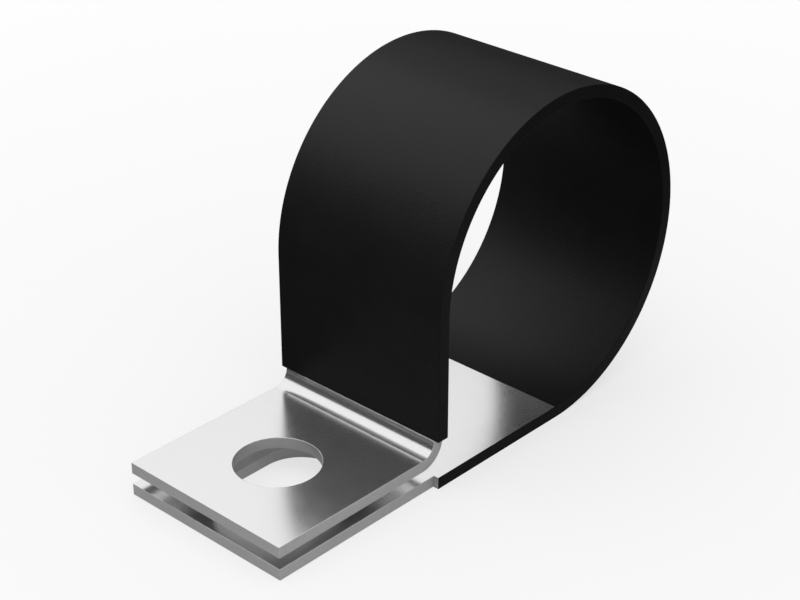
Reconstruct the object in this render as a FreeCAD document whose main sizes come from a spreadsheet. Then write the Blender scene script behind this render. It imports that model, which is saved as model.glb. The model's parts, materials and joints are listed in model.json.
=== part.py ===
import FreeCAD, Part
import math
import os
import Sketcher

# P clip for a cable or pipe, in millimetres.
#
# A strip of steel sheet is bent into a round loop, and its two ends come together as flat ears,
# one above the other, that one screw clamps. The strip is wider round the loop than at the ears.
# That wide band has a black vinyl coating on its outside, on both edges and on the inside of the
# loop. The flat inside the foot of the loop, the ears and the bend up from the upper ear are bare.
#
# The origin is on the loop's axis at half the width. The axis is +Y, the ears reach towards -X,
# and the clip stands on the flat under the loop and the lower ear, with +Z up.

# Driving dimensions: alias, value and what it measures.
SIZES = (
    ("loop_bore", 24.6, "inside diameter of the coated loop"),
    ("sheet_thickness", 0.9, "steel sheet"),
    ("coat_thickness", 0.05, "vinyl on each coated face"),
    ("band_width", 15.9, "coated band, from edge to edge"),
    ("ear_width", 15.0, "bare ears"),
    ("ear_length", 15.3, "ears, from the outside of the loop's wall to their ends"),
    ("ear_gap", 0.88, "between the ears before the screw is tightened"),
    ("bend_radius", 1.2, "inside the bend between the upper ear and the loop's wall"),
    ("screw_hole", 6.4, "hole in the upper ear and slot in the lower one, across"),
    ("hole_inset", 7.1, "centre of the hole from the ears' ends"),
    ("slot_travel", 4.1, "length of the slot's straight sides"),
)

# Sizes that several pieces share, worked out from the driving ones.
STEEL_INSIDE = "(sizes.loop_bore / 2 + sizes.coat_thickness)"
STEEL_OUTSIDE = f"({STEEL_INSIDE} + sizes.sheet_thickness)"
COAT_INSIDE = "(sizes.loop_bore / 2)"
COAT_OUTSIDE = f"({STEEL_OUTSIDE} + sizes.coat_thickness)"
STEEL_BAND_WIDTH = "(sizes.band_width - 2 * sizes.coat_thickness)"

# Depths below the loop's axis: the band starts where the bend ends, and the openings are drawn
# half-way between the ears and cut away from there through one ear each.
UPPER_EAR_UNDERSIDE = f"({STEEL_INSIDE} - sizes.ear_gap)"
BAND_START = f"({UPPER_EAR_UNDERSIDE} - sizes.sheet_thickness - sizes.bend_radius)"
MID_GAP = f"({STEEL_INSIDE} - sizes.ear_gap / 2)"
EAR_CUT = "(sizes.sheet_thickness + sizes.ear_gap)"

# Distance of the screw hole from the loop's axis, along X.
HOLE_REACH = f"({STEEL_OUTSIDE} + sizes.ear_length - sizes.hole_inset)"

# Sketcher's numbers for an edge's two ends, an arc's centre, the X axis and the origin.
START, END, CENTRE = range(1, 4)
X_AXIS = -1
ORIGIN = (X_AXIS, START)


def make_sheet(document):
    """Write the driving dimensions into a spreadsheet, one aliased cell each."""
    sheet = document.addObject("Spreadsheet::Sheet", "sizes")
    for row, (alias, number, meaning) in enumerate(SIZES, start=1):
        sheet.set(f"A{row}", alias)
        sheet.set(f"B{row}", str(number))
        sheet.set(f"C{row}", meaning)
        sheet.setAlias(f"B{row}", alias)
    document.recompute()
    return sheet


def number_of(expression):
    """Return the present value of an expression on the sheet's sizes."""
    return float(sheet.evalExpression(expression.replace("sizes.", "")))


def make_body(document, label):
    body = document.addObject("PartDesign::Body", label)
    body.Label = label
    return body


def make_sketch(body, name, plane, height=None):
    """Add a sketch on one of the body's own origin planes, raised along Z where asked."""
    sketch = body.newObject("Sketcher::SketchObject", name)
    support = [item for item in body.Origin.OriginFeatures if item.Role == plane]
    sketch.AttachmentSupport = (support[0], [""])
    sketch.MapMode = "FlatFace"
    if height:
        sketch.setExpression("AttachmentOffset.Base.z", height)
    return sketch


def line(sketch, start, end):
    points = [FreeCAD.Vector(*point, 0) for point in (start, end)]
    return sketch.addGeometry(Part.LineSegment(*points), False)


def arc(sketch, centre, radius, first, last):
    """Draw an arc counter-clockwise from the first angle to the last, in degrees."""
    circle = Part.Circle(FreeCAD.Vector(*centre, 0), FreeCAD.Vector(0, 0, 1), radius)
    curve = Part.ArcOfCircle(circle, math.radians(first), math.radians(last))
    return sketch.addGeometry(curve, False)


def rule(sketch, kind, *terms):
    return sketch.addConstraint(Sketcher.Constraint(kind, *terms))


def dimension(sketch, expression, kind, *terms):
    """Add a driving dimension whose value follows an expression on the sheet's sizes."""
    index = rule(sketch, kind, *terms, number_of(expression))
    sketch.setExpression(f"Constraints[{index}]", expression)


def add_feature(body, kind, name, profile, length, side="Symmetric", reverse=False):
    """Add a Pad or a Pocket of a profile, and let its length follow an expression.

    Faces stay apart where two features meet flush, so the lower ear's underside is a face by
    itself for the clip to be screwed down on.
    """
    feature = body.newObject(f"PartDesign::{kind}", name)
    feature.Profile = profile
    feature.SideType = side
    feature.Reversed = reverse
    feature.Refine = False
    feature.setExpression("Length", length)
    return feature


def loop_outline(sketch, outside, inside, step):
    """Draw the band seen along the loop's axis: wall, three quarters of a turn, flat foot.

    outside and inside are the radii of the two faces. The foot's upper face is always the bare
    steel, so a coated inside ends at the foot in a small step.
    """
    outer = number_of(outside)
    inner = number_of(inside)
    foot = number_of(STEEL_INSIDE)
    edge = number_of(STEEL_OUTSIDE)
    top = -number_of(BAND_START)
    outer_wall = line(sketch, (-outer, top), (-outer, 0))
    outer_turn = arc(sketch, (0, 0), outer, -90, 180)
    base = line(sketch, (0, -outer), (-edge, -outer))
    lower_end = line(sketch, (-edge, -outer), (-edge, -foot))
    flat = line(sketch, (-edge, -foot), (0, -foot))
    inner_turn = arc(sketch, (0, 0), inner, -90, 180)
    inner_wall = line(sketch, (-inner, 0), (-inner, top))
    upper_end = line(sketch, (-inner, top), (-outer, top))

    for turn in (outer_turn, inner_turn):
        rule(sketch, "Coincident", turn, CENTRE, *ORIGIN)
    rule(sketch, "Tangent", outer_wall, END, outer_turn, END)
    rule(sketch, "Tangent", outer_turn, START, base, START)
    rule(sketch, "Coincident", base, END, lower_end, START)
    rule(sketch, "Coincident", lower_end, END, flat, START)
    rule(sketch, "Tangent", inner_turn, END, inner_wall, START)
    rule(sketch, "Coincident", inner_wall, END, upper_end, START)
    rule(sketch, "Coincident", upper_end, END, outer_wall, START)
    for wall in (outer_wall, lower_end, inner_wall):
        rule(sketch, "Vertical", wall)
    for level in (base, flat, upper_end):
        rule(sketch, "Horizontal", level)
    dimension(sketch, outside, "Radius", outer_turn)
    dimension(sketch, inside, "Radius", inner_turn)
    dimension(sketch, STEEL_OUTSIDE, "DistanceX", flat, START, *ORIGIN)
    dimension(sketch, BAND_START, "DistanceY", upper_end, END, *ORIGIN)

    if step:
        rise = line(sketch, (0, -foot), (0, -inner))
        rule(sketch, "Coincident", flat, END, rise, START)
        rule(sketch, "Coincident", rise, END, inner_turn, START)
        rule(sketch, "Vertical", rise)
        rule(sketch, "Vertical", rise, END, *ORIGIN)
        dimension(sketch, STEEL_INSIDE, "DistanceY", flat, END, *ORIGIN)
    else:
        rule(sketch, "Tangent", flat, END, inner_turn, START)


def upper_ear_outline(sketch):
    """Draw the upper ear and the bend that turns it up into the loop's wall."""
    wall = number_of(STEEL_OUTSIDE)
    inside = number_of(STEEL_INSIDE)
    radius = number_of("sizes.bend_radius")
    thickness = number_of("sizes.sheet_thickness")
    end = -wall - number_of("sizes.ear_length")
    underside = -number_of(UPPER_EAR_UNDERSIDE)
    bend = (-wall - radius, underside + thickness + radius)
    face = line(sketch, (end, underside + thickness), (bend[0], underside + thickness))
    inner_bend = arc(sketch, bend, radius, 270, 360)
    top = line(sketch, (-wall, bend[1]), (-inside, bend[1]))
    outer_bend = arc(sketch, bend, radius + thickness, 270, 360)
    under = line(sketch, (bend[0], underside), (end, underside))
    tip = line(sketch, (end, underside), (end, underside + thickness))

    rule(sketch, "Tangent", face, END, inner_bend, START)
    rule(sketch, "Coincident", inner_bend, END, top, START)
    rule(sketch, "Coincident", top, END, outer_bend, END)
    rule(sketch, "Coincident", inner_bend, CENTRE, outer_bend, CENTRE)
    rule(sketch, "Tangent", outer_bend, START, under, START)
    rule(sketch, "Coincident", under, END, tip, START)
    rule(sketch, "Coincident", tip, END, face, START)
    rule(sketch, "Horizontal", inner_bend, CENTRE, inner_bend, END)
    for level in (face, top):
        rule(sketch, "Horizontal", level)
    rule(sketch, "Vertical", tip)
    dimension(sketch, STEEL_OUTSIDE, "DistanceX", top, START, *ORIGIN)
    dimension(sketch, "sizes.sheet_thickness", "DistanceX", top, START, top, END)
    dimension(sketch, "sizes.bend_radius", "Radius", inner_bend)
    dimension(sketch, UPPER_EAR_UNDERSIDE, "DistanceY", under, END, *ORIGIN)
    dimension(sketch, "sizes.ear_length", "DistanceX", face, START, top, START)
    rule(sketch, "Horizontal", under)


def lower_ear_outline(sketch):
    """Draw the lower ear, which carries the foot straight on."""
    right = -number_of(STEEL_OUTSIDE)
    left = right - number_of("sizes.ear_length")
    top = -number_of(STEEL_INSIDE)
    base = -number_of(STEEL_OUTSIDE)
    corners = ((left, base), (right, base), (right, top), (left, top))
    sides = [line(sketch, corners[i - 1], corners[i]) for i in range(len(corners))]
    for i in range(len(sides)):
        rule(sketch, "Coincident", sides[i - 1], END, sides[i], START)
        rule(sketch, "Vertical" if i % 2 == 0 else "Horizontal", sides[i])
    dimension(sketch, STEEL_OUTSIDE, "DistanceX", sides[2], START, *ORIGIN)
    dimension(sketch, STEEL_INSIDE, "DistanceY", sides[2], END, *ORIGIN)
    dimension(sketch, "sizes.sheet_thickness", "DistanceY", sides[2], START, sides[2], END)
    dimension(sketch, "sizes.ear_length", "DistanceX", sides[1], START, sides[1], END)


def hole_outline(sketch):
    """Draw the round screw hole."""
    centre = FreeCAD.Vector(-number_of(HOLE_REACH), 0, 0)
    radius = number_of("sizes.screw_hole") / 2
    hole = sketch.addGeometry(Part.Circle(centre, FreeCAD.Vector(0, 0, 1), radius), False)
    rule(sketch, "PointOnObject", hole, CENTRE, X_AXIS)
    dimension(sketch, "sizes.screw_hole", "Diameter", hole)
    dimension(sketch, HOLE_REACH, "DistanceX", hole, CENTRE, *ORIGIN)


def slot_outline(sketch):
    """Draw the slot, centred under the screw hole and long towards the loop and the ear's end."""
    middle = -number_of(HOLE_REACH)
    half_travel = number_of("sizes.slot_travel") / 2
    radius = number_of("sizes.screw_hole") / 2
    near = (middle + half_travel, 0)
    far = (middle - half_travel, 0)
    near_end = arc(sketch, near, radius, -90, 90)
    back = line(sketch, (near[0], radius), (far[0], radius))
    far_end = arc(sketch, far, radius, 90, 270)
    front = line(sketch, (far[0], -radius), (near[0], -radius))
    rule(sketch, "Tangent", near_end, END, back, START)
    rule(sketch, "Tangent", back, END, far_end, START)
    rule(sketch, "Tangent", far_end, END, front, START)
    rule(sketch, "Tangent", front, END, near_end, START)
    rule(sketch, "Horizontal", back)
    for end in (near_end, far_end):
        rule(sketch, "PointOnObject", end, CENTRE, X_AXIS)
    dimension(sketch, "sizes.screw_hole", "Diameter", near_end)
    dimension(sketch, "sizes.slot_travel", "DistanceX", far_end, CENTRE, near_end, CENTRE)
    dimension(sketch, f"{HOLE_REACH} - sizes.slot_travel / 2", "DistanceX", near_end, CENTRE, *ORIGIN)


def make_strap(document):
    """The bent steel strap: a wide band round the loop, two narrower ears, a hole and a slot."""
    body = make_body(document, "steel_strap")

    band = make_sketch(body, "band_outline", "XZ_Plane")
    loop_outline(band, STEEL_OUTSIDE, STEEL_INSIDE, step=False)
    add_feature(body, "Pad", "band", band, STEEL_BAND_WIDTH)

    upper = make_sketch(body, "upper_ear_outline", "XZ_Plane")
    upper_ear_outline(upper)
    add_feature(body, "Pad", "upper_ear", upper, "sizes.ear_width")

    lower = make_sketch(body, "lower_ear_outline", "XZ_Plane")
    lower_ear_outline(lower)
    add_feature(body, "Pad", "lower_ear", lower, "sizes.ear_width")

    hole = make_sketch(body, "screw_hole_outline", "XY_Plane", f"-{MID_GAP}")
    hole_outline(hole)
    add_feature(body, "Pocket", "screw_hole", hole, EAR_CUT, "One side", reverse=True)

    slot = make_sketch(body, "screw_slot_outline", "XY_Plane", f"-{MID_GAP}")
    slot_outline(slot)
    add_feature(body, "Pocket", "screw_slot", slot, EAR_CUT, "One side")
    return body


def make_coating(document):
    """The vinyl round the wide band: one skin over its outside, its edges and the loop's inside."""
    body = make_body(document, "vinyl_coating")

    skin = make_sketch(body, "coating_outline", "XZ_Plane")
    loop_outline(skin, COAT_OUTSIDE, COAT_INSIDE, step=True)
    add_feature(body, "Pad", "coated_band", skin, "sizes.band_width")

    steel = make_sketch(body, "steel_space_outline", "XZ_Plane")
    loop_outline(steel, STEEL_OUTSIDE, STEEL_INSIDE, step=False)
    add_feature(body, "Pocket", "steel_space", steel, STEEL_BAND_WIDTH)
    return body


def check_model(document, bodies):
    """Stop before anything is written if a feature failed or a piece isn't one sound solid."""
    for item in document.Objects:
        if "Invalid" in item.State or "Error" in item.State:
            raise RuntimeError(f"{item.Label} did not build: {item.State}")
        if item.isDerivedFrom("Sketcher::SketchObject") and not item.FullyConstrained:
            raise RuntimeError(f"{item.Label} is not fully constrained")
    for body in bodies:
        shape = body.Shape
        if shape.isNull() or not shape.isValid() or len(shape.Solids) != 1:
            raise RuntimeError(f"{body.Label} is not one valid solid")


document = FreeCAD.newDocument("p_clip")
sheet = make_sheet(document)
pieces = [make_strap(document), make_coating(document)]
document.recompute()
check_model(document, pieces)

os.makedirs("parts", exist_ok=True)
for piece in pieces:
    piece.Shape.exportStep(f"parts/{piece.Label}.step")
    print(f"{piece.Label}: {piece.Shape.Volume:.3f} mm3")
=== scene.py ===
import json
import math

import bmesh
import bpy
from mathutils import Matrix, Vector


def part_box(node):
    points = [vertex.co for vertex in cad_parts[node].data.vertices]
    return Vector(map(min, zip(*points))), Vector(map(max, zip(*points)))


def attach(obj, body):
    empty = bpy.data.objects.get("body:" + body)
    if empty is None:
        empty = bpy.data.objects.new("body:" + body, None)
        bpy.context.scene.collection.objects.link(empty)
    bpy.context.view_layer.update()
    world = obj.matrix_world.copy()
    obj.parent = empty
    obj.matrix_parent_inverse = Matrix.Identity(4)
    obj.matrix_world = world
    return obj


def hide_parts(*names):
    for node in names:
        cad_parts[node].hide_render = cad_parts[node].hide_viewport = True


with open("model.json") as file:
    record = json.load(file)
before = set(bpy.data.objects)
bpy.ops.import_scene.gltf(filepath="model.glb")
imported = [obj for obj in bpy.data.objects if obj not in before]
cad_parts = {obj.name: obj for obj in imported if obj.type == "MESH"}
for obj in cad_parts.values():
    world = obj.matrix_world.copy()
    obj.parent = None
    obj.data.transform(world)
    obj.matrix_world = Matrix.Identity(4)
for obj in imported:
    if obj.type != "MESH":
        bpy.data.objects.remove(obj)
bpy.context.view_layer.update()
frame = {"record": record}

# P clip: a bent steel strap with bare ears, and black vinyl round its wide band.
#
# Shapes are worked out in millimetres and turned to metres as each mesh is finished. The loop's
# axis is Y, the ears reach towards -X, and the clip stands on the floor under its foot.

MM = 0.001

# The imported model's sizes, in millimetres.
STRAP_LOW, STRAP_HIGH = (Vector(corner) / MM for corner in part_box("steel_strap"))
COAT_LOW, COAT_HIGH = (Vector(corner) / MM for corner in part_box("vinyl_coating"))
MOUNTS = {mount["name"]: mount for mount in frame["record"]["mounts"]}
HOLE_CENTRE = Vector(MOUNTS["screw_hole"]["pos_m"]) / MM
HOLE_RADIUS = MOUNTS["screw_hole"]["dims"]["r_mm"]

# Radii of the loop, half widths of the band and of the ears, and the ears' ends.
STEEL_OUTSIDE = STRAP_HIGH.x
COAT_OUTSIDE = COAT_HIGH.x
COAT = COAT_OUTSIDE - STEEL_OUTSIDE
COAT_INSIDE = MOUNTS["cable_loop"]["dims"]["r_mm"]
STEEL_INSIDE = COAT_INSIDE + COAT
SHEET = STEEL_OUTSIDE - STEEL_INSIDE
STEEL_HALF = STRAP_HIGH.y
COAT_HALF = COAT_HIGH.y
EAR_HALF = 7.5
EAR_END = STRAP_LOW.x

# The bend between the upper ear and the loop's wall: its inside radius and its centre.
BEND_RADIUS = 1.2
BEND_X = -STEEL_OUTSIDE - BEND_RADIUS
BEND_Z = HOLE_CENTRE.z + SHEET / 2 + BEND_RADIUS

# How far the strip turns round the loop and round the bend, in degrees.
LOOP_TURN = 270
BEND_TURN = 90

# How much longer the lower ear's slot is than the upper ear's hole.
SLOT_TRAVEL = 4.1

# Edges broken after shearing, and the soft edges of the vinyl.
STEEL_EDGE = 0.03
COAT_EDGE = 0.04
EDGE_STEPS = 3

# Steps of the swept bends and of the round openings.
LOOP_STEPS = 180
BEND_STEPS = 24
HOLE_STEPS = 96

X_AXIS, Y_AXIS, Z_AXIS = Matrix.Identity(3)

# Two places nearer than this, in millimetres, are one. An edge over the first angle is sharp,
# and one under the second is flat.
NEAR = 1e-4
SHARP = math.radians(40)
FLAT = math.radians(0.1)

# How much of a face's normal lies along an axis where the face leans to it or is square to it.
LEANING = 0.5
SQUARE = 0.9


# Shapes

def add_rectangle(mesh, length, width, place):
    """Add a flat rectangle, its middle moved and turned as the matrix of its place says."""
    size = Matrix.Diagonal((length, width, 1, 1))
    bmesh.ops.create_grid(mesh, x_segments=1, y_segments=1, size=0.5, matrix=place @ size)


def cross_section(mesh, outside, inside, half_width, cuts):
    """Lay the band's section level where its wall starts, and cut it into cells."""
    middle = (-(outside + inside) / 2, 0, BEND_Z)
    add_rectangle(mesh, outside - inside, 2 * half_width, Matrix.Translation(middle))
    for axis, distance in cuts:
        everything = mesh.verts[:] + mesh.edges[:] + mesh.faces[:]
        bmesh.ops.bisect_plane(
            mesh, geom=everything, dist=NEAR, plane_co=axis * distance, plane_no=axis
        )


def patch(faces):
    """Return some faces with their edges and corners, as an extrusion takes them."""
    edges = dict.fromkeys(edge for face in faces for edge in face.edges)
    corners = dict.fromkeys(corner for face in faces for corner in face.verts)
    return [*faces, *edges, *corners]


def only(kind, items):
    return [item for item in items if isinstance(item, kind)]


def push(mesh, faces, move):
    """Extrude faces in a straight line, and return the faces at the new end."""
    made = bmesh.ops.extrude_face_region(mesh, geom=patch(faces))["geom"]
    bmesh.ops.translate(mesh, verts=only(bmesh.types.BMVert, made), vec=move)
    return only(bmesh.types.BMFace, made)


def swing(mesh, faces, centre, degrees, steps):
    """Extrude faces round an axis along Y, and return the faces at the new end."""
    made = bmesh.ops.spin(
        mesh,
        geom=patch(faces),
        cent=centre,
        axis=Y_AXIS,
        angle=math.radians(degrees),
        steps=steps,
        use_merge=False,
    )["geom_last"]
    return only(bmesh.types.BMFace, made)


def sweep_band(mesh):
    """Carry the section up the wall and three quarters round the loop; return its last faces."""
    top_of_wall = push(mesh, mesh.faces[:], -BEND_Z * Z_AXIS)
    return swing(mesh, top_of_wall, (0, 0, 0), LOOP_TURN, LOOP_STEPS)


def close_shell(mesh):
    bmesh.ops.remove_doubles(mesh, verts=mesh.verts[:], dist=NEAR)
    bmesh.ops.recalc_face_normals(mesh, faces=mesh.faces[:])


def middle_cell(faces):
    return [face for face in faces if abs(face.calc_center_median().y) < EAR_HALF / 2]


def strap_blank():
    """The strap before it is pierced: wide band, bend and upper ear, foot and lower ear."""
    mesh = bmesh.new()
    cuts = ((Y_AXIS, -EAR_HALF), (Y_AXIS, EAR_HALF))
    cross_section(mesh, STEEL_OUTSIDE, STEEL_INSIDE, STEEL_HALF, cuts)
    loop_end = sweep_band(mesh)
    foot_end = push(mesh, loop_end, -STEEL_OUTSIDE * X_AXIS)
    push(mesh, middle_cell(foot_end), (EAR_END + STEEL_OUTSIDE) * X_AXIS)

    band_start = [
        face
        for face in mesh.faces
        if all(abs(corner.co.z - BEND_Z) < NEAR and corner.co.x < 0 for corner in face.verts)
    ]
    bend_centre = (BEND_X, 0, BEND_Z)
    bend_end = swing(mesh, middle_cell(band_start), bend_centre, BEND_TURN, BEND_STEPS)
    push(mesh, bend_end, (EAR_END - BEND_X) * X_AXIS)
    close_shell(mesh)
    return mesh


def opening(centre, travel):
    """A closed cutter for one ear: a drum, or two drums a travel apart with a hull round them."""
    mesh = bmesh.new()
    for along in (-travel / 2, travel / 2):
        bmesh.ops.create_cone(
            mesh,
            cap_ends=True,
            segments=HOLE_STEPS,
            radius1=HOLE_RADIUS,
            radius2=HOLE_RADIUS,
            depth=SHEET + COAT,
            matrix=Matrix.Translation(centre + along * X_AXIS),
        )
    bmesh.ops.remove_doubles(mesh, verts=mesh.verts[:], dist=NEAR)
    hull = bmesh.ops.convex_hull(mesh, input=mesh.verts[:])
    spare = dict.fromkeys(hull["geom_interior"] + hull["geom_unused"])
    bmesh.ops.delete(mesh, geom=only(bmesh.types.BMVert, spare), context="VERTS")
    bmesh.ops.dissolve_limit(mesh, angle_limit=FLAT, verts=mesh.verts[:], edges=mesh.edges[:])
    close_shell(mesh)
    return mesh


def as_object(mesh, name):
    """Turn a mesh in the making into an object of the scene."""
    data = bpy.data.meshes.new(name)
    mesh.to_mesh(data)
    mesh.free()
    shape = bpy.data.objects.new(name, data)
    bpy.context.scene.collection.objects.link(shape)
    return shape


def pierce(blank, cutters):
    """Cut shapes out of a blank, and return what is left."""
    body = as_object(blank, "blank")
    tools = [as_object(cutter, "cutter") for cutter in cutters]
    for tool in tools:
        cut = body.modifiers.new("cut", "BOOLEAN")
        cut.operation = "DIFFERENCE"
        cut.solver = "EXACT"
        cut.object = tool
    depsgraph = bpy.context.evaluated_depsgraph_get()
    mesh = bmesh.new()
    mesh.from_mesh(body.evaluated_get(depsgraph).to_mesh())
    for shape in (body, *tools):
        bpy.data.meshes.remove(shape.data)
    return mesh


def break_edges(mesh, radius, shown):
    """Round the sharp outward edges whose ends both lie where shown says."""
    edges = [
        edge
        for edge in mesh.edges
        if edge.calc_face_angle_signed(0) > SHARP and all(shown(end.co) for end in edge.verts)
    ]
    bmesh.ops.bevel(
        mesh,
        geom=edges,
        offset=radius,
        offset_type="OFFSET",
        affect="EDGES",
        segments=EDGE_STEPS,
        profile=0.5,
        material=-1,
        clamp_overlap=True,
    )


def is_cut_face(face):
    """Whether a face of the strap was sheared, not rolled: sides, ends, openings, shoulders."""
    normal, centre = face.normal, face.calc_center_median()
    side = abs(normal.y) > LEANING
    end_or_opening = centre.x < BEND_X and abs(normal.z) < LEANING
    faces_shoulder = centre.x < 0 and min(normal.x, normal.z) < -SQUARE
    at_shoulder = abs(centre.z - BEND_Z) < NEAR or abs(centre.x + STEEL_OUTSIDE) < NEAR
    shoulder = abs(centre.y) > EAR_HALF and faces_shoulder and at_shoulder
    return side or end_or_opening or shoulder


def make_strap():
    """The steel strap with its screw hole, its slot and lightly broken edges."""
    slot_centre = Vector((HOLE_CENTRE.x, 0, -(STEEL_OUTSIDE + STEEL_INSIDE) / 2))
    mesh = pierce(strap_blank(), [opening(HOLE_CENTRE, 0), opening(slot_centre, SLOT_TRAVEL)])
    break_edges(mesh, STEEL_EDGE, lambda place: abs(place.y) < EAR_HALF + NEAR)
    mesh.normal_update()
    for face in mesh.faces:
        face.material_index = int(is_cut_face(face))
    return mesh


def make_coating():
    """The vinyl: a sleeve round the wall and the loop, and a channel under the foot."""
    mesh = bmesh.new()
    cuts = (
        (X_AXIS, -STEEL_OUTSIDE),
        (X_AXIS, -STEEL_INSIDE),
        (Y_AXIS, -STEEL_HALF),
        (Y_AXIS, STEEL_HALF),
    )
    cross_section(mesh, COAT_OUTSIDE, COAT_INSIDE, COAT_HALF, cuts)
    steel_cell = max(mesh.faces, key=lambda face: face.calc_area())
    bmesh.ops.delete(mesh, geom=[steel_cell], context="FACES_ONLY")
    loop_end = sweep_band(mesh)
    channel = [face for face in loop_end if face.calc_center_median().z < -STEEL_INSIDE]
    push(mesh, channel, -STEEL_OUTSIDE * X_AXIS)
    close_shell(mesh)
    break_edges(mesh, COAT_EDGE, lambda place: abs(place.y) > STEEL_HALF + NEAR)
    return mesh


# Shader nodes

# Sockets of a Mix node for colours, whose names its other kinds share, and of a Mix Shader.
MIX_SHARE, MIX_FIRST, MIX_SECOND, MIX_COLOUR = 0, 6, 7, 2
BLEND_SHARE, BLEND_FIRST, BLEND_SECOND = 0, 1, 2


class Signal:
    """A number that changes from place to place. Arithmetic on it adds Math nodes."""

    def __init__(self, graph, socket):
        self.graph = graph
        self.socket = socket

    def math(self, operation, *terms):
        settings = {"operation": operation}
        node = self.graph.add("ShaderNodeMath", settings, dict(enumerate(terms)))
        return Signal(self.graph, node.outputs[0])

    def __add__(self, other):
        return self.math("ADD", self, other)

    def __sub__(self, other):
        return self.math("SUBTRACT", self, other)

    def __rsub__(self, other):
        return self.math("SUBTRACT", other, self)

    def __mul__(self, other):
        return self.math("MULTIPLY", self, other)

    def __or__(self, other):
        """The larger of two."""
        return self.math("MAXIMUM", self, other)

    __radd__ = __add__
    __rmul__ = __mul__
    __ror__ = __or__


class Graph:
    """The node tree of a material or of the world."""

    def __init__(self, owner):
        owner.use_nodes = True
        self.tree = owner.node_tree
        self.tree.nodes.clear()

    def add(self, kind, settings=None, sockets=None):
        """Add a node: its settings first, then the values or links of its sockets."""
        node = self.tree.nodes.new(kind)
        for name, value in (settings or {}).items():
            setattr(node, name, value)
        for key, value in (sockets or {}).items():
            source = value.socket if isinstance(value, Signal) else value
            if isinstance(source, bpy.types.NodeSocket):
                self.tree.links.new(source, node.inputs[key])
            else:
                node.inputs[key].default_value = source
        return node

    def noise(self, per_mm, detail):
        """Noise from -0.5 to 0.5, with so many cells in a millimetre along each axis."""
        here = self.add("ShaderNodeTexCoord").outputs["Object"]
        stretch = {"Vector": here, "Scale": Vector(per_mm) / MM}
        cells = self.add("ShaderNodeMapping", None, stretch).outputs["Vector"]
        sockets = {"Vector": cells, "Scale": 1.0, "Detail": detail}
        node = self.add("ShaderNodeTexNoise", {"normalize": True}, sockets)
        return Signal(self, node.outputs[0]) - 0.5

    def tint(self, share, dark, light):
        """A colour between two greys."""
        sockets = {MIX_SHARE: share, MIX_FIRST: grey(dark), MIX_SECOND: grey(light)}
        return self.add("ShaderNodeMix", {"data_type": "RGBA"}, sockets).outputs[MIX_COLOUR]

    def relief(self, height, depth_mm):
        """A surface normal from a height that rises by the depth as its signal rises by one."""
        sockets = {"Height": height, "Distance": depth_mm * MM}
        return self.add("ShaderNodeBump", None, sockets).outputs["Normal"]

    def show(self, kind, shader):
        """Lead a shader to the output node of its kind."""
        self.add(kind, None, {"Surface": shader})


def grey(value):
    return (value, value, value, 1.0)


# Materials

def surface(name, build):
    """Make a material whose one principled shader takes its sockets from build(graph)."""
    material = bpy.data.materials.new(name)
    graph = Graph(material)
    shader = graph.add("ShaderNodeBsdfPrincipled", None, build(graph))
    graph.show("ShaderNodeOutputMaterial", shader.outputs[0])
    return material


def rolled_zinc(graph):
    """Bright zinc on rolled sheet: fine lines along the strip and a faint haze."""
    lines = graph.noise(per_mm=(0.25, 14.0, 0.25), detail=3.0)
    haze = graph.noise(per_mm=(0.7, 0.7, 0.7), detail=3.0)
    return {
        "Base Color": graph.tint(haze + 0.5, dark=0.83, light=0.87),
        "Metallic": 0.955,
        "Roughness": 0.19 + 0.05 * haze + 0.04 * lines,
        "Normal": graph.relief(lines, depth_mm=0.0006),
    }


def sheared_steel(graph):
    """Bare sheared edges: duller, with fine marks through the sheet's thickness."""
    marks = graph.noise(per_mm=(9.0, 9.0, 0.8), detail=3.0)
    blotches = graph.noise(per_mm=(1.5, 1.5, 1.5), detail=2.0)
    return {
        "Base Color": graph.tint(blotches + 0.5, dark=0.47, light=0.53),
        "Metallic": 1.0,
        "Roughness": 0.55 + 0.1 * marks,
        "Normal": graph.relief(marks, depth_mm=0.002),
    }


def satin_vinyl(graph):
    """Satin black vinyl with a fine grain."""
    grain = graph.noise(per_mm=(5.0, 5.0, 5.0), detail=3.0)
    flow = graph.noise(per_mm=(0.35, 0.35, 0.35), detail=2.0)
    return {
        "Base Color": graph.tint(flow + 0.5, dark=0.004, light=0.006),
        "Roughness": 0.45 + 0.06 * flow + 0.05 * grain,
        "Specular IOR Level": 0.05,
        "Normal": graph.relief(grain, depth_mm=0.014),
    }


# Pieces

def finish_piece(mesh, name, materials, node):
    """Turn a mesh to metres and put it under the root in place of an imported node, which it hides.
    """
    bmesh.ops.scale(mesh, verts=mesh.verts[:], vec=(MM, MM, MM))
    for face in mesh.faces:
        face.smooth = True
    for edge in mesh.edges:
        edge.smooth = edge.calc_face_angle(0) < SHARP
    piece = as_object(mesh, name)
    for material in materials:
        piece.data.materials.append(material)
    flats = piece.modifiers.new("flat_faces", "WEIGHTED_NORMAL")
    flats.mode = "FACE_AREA"
    flats.keep_sharp = True
    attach(piece, "root")
    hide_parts(node)
    return piece


# Studio

# Light on the clip, and the paper's grey as it is seen and as it is mirrored: shares of white.
# The darker grey that reflections see is painted shade.
AMBIENT = 0.75
PAPER = 0.9
PAPER_MIRRORED = 0.5

# The paper is a disc, in metres, large enough to have no end in sight.
FLOOR_RADIUS = 3.0
FLOOR_STEPS = 64

# How far the paper's shadow shows, in metres, and how much of it is seen and mirrored.
# Over that reach the paper is also painted darker towards the clip: painted shade with its real
# shadow.
SHADOW_REACH = 0.12
SHADOW_SEEN = 0.4
SHADOW_MIRRORED = 1.0

# Black cards round the clip, which give the steel something dark to mirror. In metres: how far
# off they stand, how near their feet reach and how high they lie over the paper. Their grey is
# a share of white.
CARD_DISTANCE = 0.3
CARD_FOOT = 0.035
CARD_LIFT = 0.0002
CARD_GREY = 0.05

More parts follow.
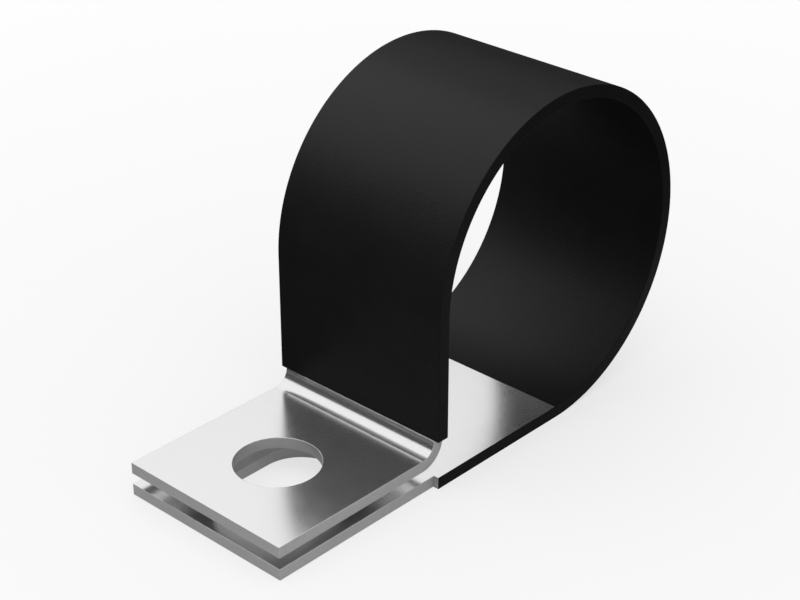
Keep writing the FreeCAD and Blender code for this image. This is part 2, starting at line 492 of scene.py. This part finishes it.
# The camera, from beyond the ears, on the loop's open side. Lens and sensor are in millimetres.
CAMERA_PLACE = Vector((-99.55, -84.36, 64.63)) * MM
CAMERA_DIP = math.radians(28.48)
CAMERA_TURN = math.radians(-47.104)
LENS = 87.07
SENSOR = 36.0
NEAREST_SEEN = 5 * MM


def sight(graph):
    """Signals that are one for rays that look straight, or through glass, and for mirrored rays."""
    path = graph.add("ShaderNodeLightPath")
    names = ("Is Camera Ray", "Is Transmission Ray", "Is Glossy Ray")
    camera, through, mirrored = (Signal(graph, path.outputs[name]) for name in names)
    return camera | through, mirrored


def light_world():
    """A pale even dome, seen and mirrored as plain white."""
    world = bpy.data.worlds.new("studio")
    graph = Graph(world)
    straight, mirrored = sight(graph)
    strength = AMBIENT + (1 - AMBIENT) * (straight | mirrored)
    dome = graph.add("ShaderNodeBackground", None, {"Color": grey(1), "Strength": strength})
    graph.show("ShaderNodeOutputWorld", dome.outputs[0])
    # Sampled as a lamp, the dome would lose what only mirrored rays see.
    world.cycles.sampling_method = "NONE"
    bpy.context.scene.world = world


def lay_floor():
    """White paper, plain white far off, that takes the clip's shadow near it.

    Near the clip it is painted darker, and greyer in a reflection than to the eye: painted shade.
    """
    material = bpy.data.materials.new("floor")
    graph = Graph(material)
    here = graph.add("ShaderNodeTexCoord").outputs["Object"]
    away = graph.add("ShaderNodeVectorMath", {"operation": "LENGTH"}, {"Vector": here})
    # Painted shade: towards the clip less white shows, so the lit paper and its real shadow darken
    # it.
    near = (1 - Signal(graph, away.outputs["Value"]) * (1 / SHADOW_REACH)) | 0
    straight, mirrored = sight(graph)
    plain = straight * (1 - near * SHADOW_SEEN) | mirrored * (1 - near * SHADOW_MIRRORED)
    # Painted shade: a reflection sees the paper greyer than the eye does.
    colour = graph.tint(1 - mirrored, dark=PAPER_MIRRORED, light=PAPER)
    paper = graph.add("ShaderNodeBsdfDiffuse", None, {"Color": colour}).outputs[0]
    white = graph.add("ShaderNodeEmission", None, {"Color": grey(1), "Strength": 1.0}).outputs[0]
    sockets = {BLEND_SHARE: plain, BLEND_FIRST: paper, BLEND_SECOND: white}
    blend = graph.add("ShaderNodeMixShader", None, sockets)
    graph.show("ShaderNodeOutputMaterial", blend.outputs[0])
    # The white is looked at, straight or in a reflection, and is no lamp.
    material.cycles.emission_sampling = "NONE"

    mesh = bmesh.new()
    level = Matrix.Translation((0, 0, COAT_LOW.z * MM))
    bmesh.ops.create_circle(
        mesh, cap_ends=True, segments=FLOOR_STEPS, radius=FLOOR_RADIUS, matrix=level
    )
    floor = as_object(mesh, "floor")
    floor.data.materials.append(material)


def as_card(mesh, name, material):
    """Turn a mesh into a card that only reflections see."""
    card = as_object(mesh, name)
    card.data.materials.append(material)
    card.visible_camera = False
    card.visible_diffuse = False
    card.visible_shadow = False


def lay_card(name, material, low, high):
    """Lay a card on the paper between two corners, in millimetres."""
    low, high = (Vector((*corner, COAT_LOW.z)) * MM for corner in (low, high))
    middle = (low + high) / 2 + CARD_LIFT * Z_AXIS
    mesh = bmesh.new()
    add_rectangle(mesh, high.x - low.x, high.y - low.y, Matrix.Translation(middle))
    as_card(mesh, name, material)


def stand_card(name, material, azimuth, width, top):
    """Stand a card up, with a foot that lies towards the clip.

    Its middle, its width and its top are angles in degrees, as seen from the loop.
    """
    low = COAT_LOW.z * MM + CARD_LIFT
    high = CARD_DISTANCE * math.tan(math.radians(top))
    across = 2 * CARD_DISTANCE * math.tan(math.radians(width / 2))
    upright = Matrix.Rotation(math.radians(90), 4, "X")
    out = Matrix.Translation((0, CARD_DISTANCE, (low + high) / 2))
    turn = Matrix.Rotation(math.radians(azimuth - 90), 3, "Z")
    mesh = bmesh.new()
    add_rectangle(mesh, across, high - low, out @ upright)
    bottom = min(mesh.edges, key=lambda edge: sum(end.co.z for end in edge.verts))
    made = bmesh.ops.extrude_edge_only(mesh, edges=[bottom])["geom"]
    inwards = (CARD_FOOT - CARD_DISTANCE) * Y_AXIS
    bmesh.ops.translate(mesh, verts=only(bmesh.types.BMVert, made), vec=inwards)
    bmesh.ops.rotate(mesh, verts=mesh.verts[:], matrix=turn)
    as_card(mesh, name, material)


def hang_lamp(name, direction, distance, size, radiance, mirrored=True, only_on=()):
    """Hang a square soft lamp that faces the clip. Its distance and size are in metres.

    It lights everything, or some pieces alone. One that isn't mirrored leaves gloss as it is.
    """
    light = bpy.data.lights.new(name, "AREA")
    light.shape = "SQUARE"
    light.size = size
    # The watts that make it look as bright as its radiance.
    light.energy = radiance * math.pi * size * size
    lamp = bpy.data.objects.new(name, light)
    lamp.visible_glossy = mirrored
    towards = Vector(direction).normalized()
    lamp.location = towards * distance
    lamp.rotation_euler = towards.to_track_quat("Z", "Y").to_euler()
    bpy.context.scene.collection.objects.link(lamp)
    if only_on:
        lit = bpy.data.collections.new(name)
        for piece in only_on:
            lit.objects.link(piece)
        lamp.light_linking.receiver_collection = lit


def set_camera():
    """Look at the clip as the photograph does."""
    lens = bpy.data.cameras.new("camera")
    lens.sensor_width = SENSOR
    lens.lens = LENS
    lens.clip_start = NEAREST_SEEN
    camera = bpy.data.objects.new("camera", lens)
    camera.location = CAMERA_PLACE
    camera.rotation_euler = (math.radians(90) - CAMERA_DIP, 0, CAMERA_TURN)
    bpy.context.scene.collection.objects.link(camera)
    bpy.context.scene.camera = camera


# The clip

zinc = surface("zinc_plated_steel", rolled_zinc)
cut_edge = surface("sheared_edge", sheared_steel)
vinyl = surface("black_vinyl", satin_vinyl)
finish_piece(make_strap(), "bent_strap", [zinc, cut_edge], "steel_strap")
skin = finish_piece(make_coating(), "vinyl_skin", [vinyl], "vinyl_coating")

# Its light and its view

light_world()
lay_floor()
black = surface("black_card", lambda graph: {"Base Color": grey(CARD_GREY), "Roughness": 1.0})
stand_card("left_card", black, azimuth=140, width=60, top=26)
stand_card("right_card", black, azimuth=37, width=100, top=24)
stand_card("front_card", black, azimuth=-30, width=70, top=0)
# A black card on the paper behind the ears, seen only in reflections: painted shade in the gap
# between the ears, which would otherwise mirror bright paper.
lay_card("low_card", black, low=(-28.5, 8.2), high=(-4, 35))
# Bright zinc would clip to white if it mirrored the lamp above it.
hang_lamp(
    "overhead", direction=(0, 0, 1), distance=0.6, size=0.8, radiance=0.5, mirrored=False
)
# Only the vinyl takes this sheen: the bright steel beside it would clip to white.
hang_lamp(
    "sheen", direction=(-0.2, 0.6, 0.75), distance=0.5, size=0.6, radiance=3.8, only_on=[skin]
)
set_camera()
bpy.context.scene.view_settings.view_transform = "Standard"
